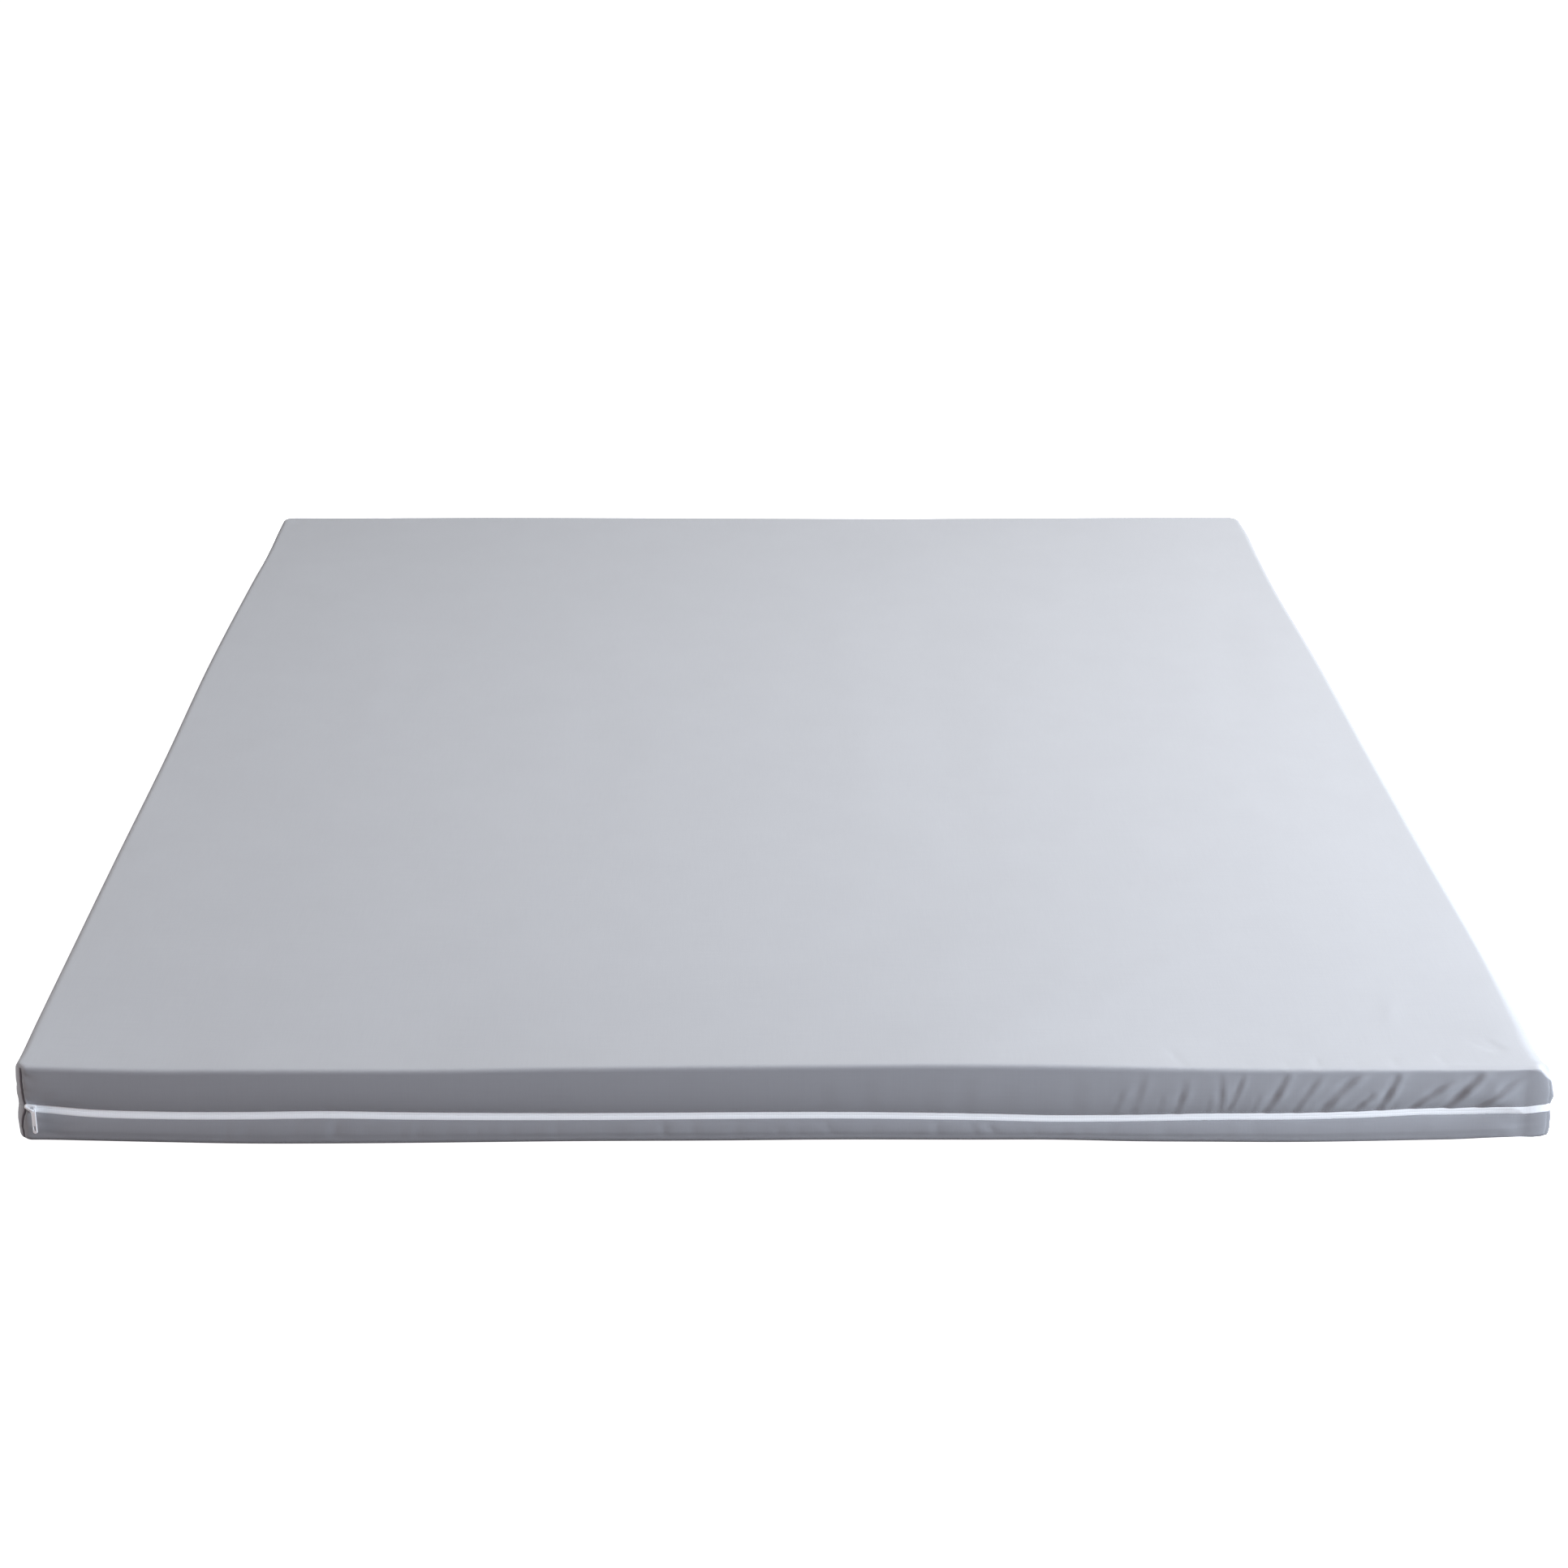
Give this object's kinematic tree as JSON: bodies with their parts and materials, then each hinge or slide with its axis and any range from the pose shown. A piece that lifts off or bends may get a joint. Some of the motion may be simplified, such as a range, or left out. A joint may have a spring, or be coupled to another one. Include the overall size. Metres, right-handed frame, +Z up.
{
  "type": "sofa bed mattress",
  "caption": "Flat foam mattress in a zipped grey-blue cotton cover, with soft folded edges and a zip round the front and one side.",
  "frame": {"origin": "middle of the underside on the surface that the mattress lies on", "axes": "+X along the short front side, with the zip's slider at the -X end; -Y out of the front side, which the zip crosses; +Z up out of the lying face"},
  "size_m": [1.4208, 2.0118, 0.0825],
  "materials": {
    "cover_cloth": "plain-woven cotton, matt",
    "zip_tape": "close-woven white tape",
    "zip_metal": "white enamel, semi-gloss"
  },
  "bodies": {
    "root": {"mattress": "cover_cloth", "zip_tape_upper": "zip_tape", "zip_tape_lower": "zip_tape", "zip_slider": "zip_metal", "zip_pull": "zip_metal"}
  },
  "joints": []
}
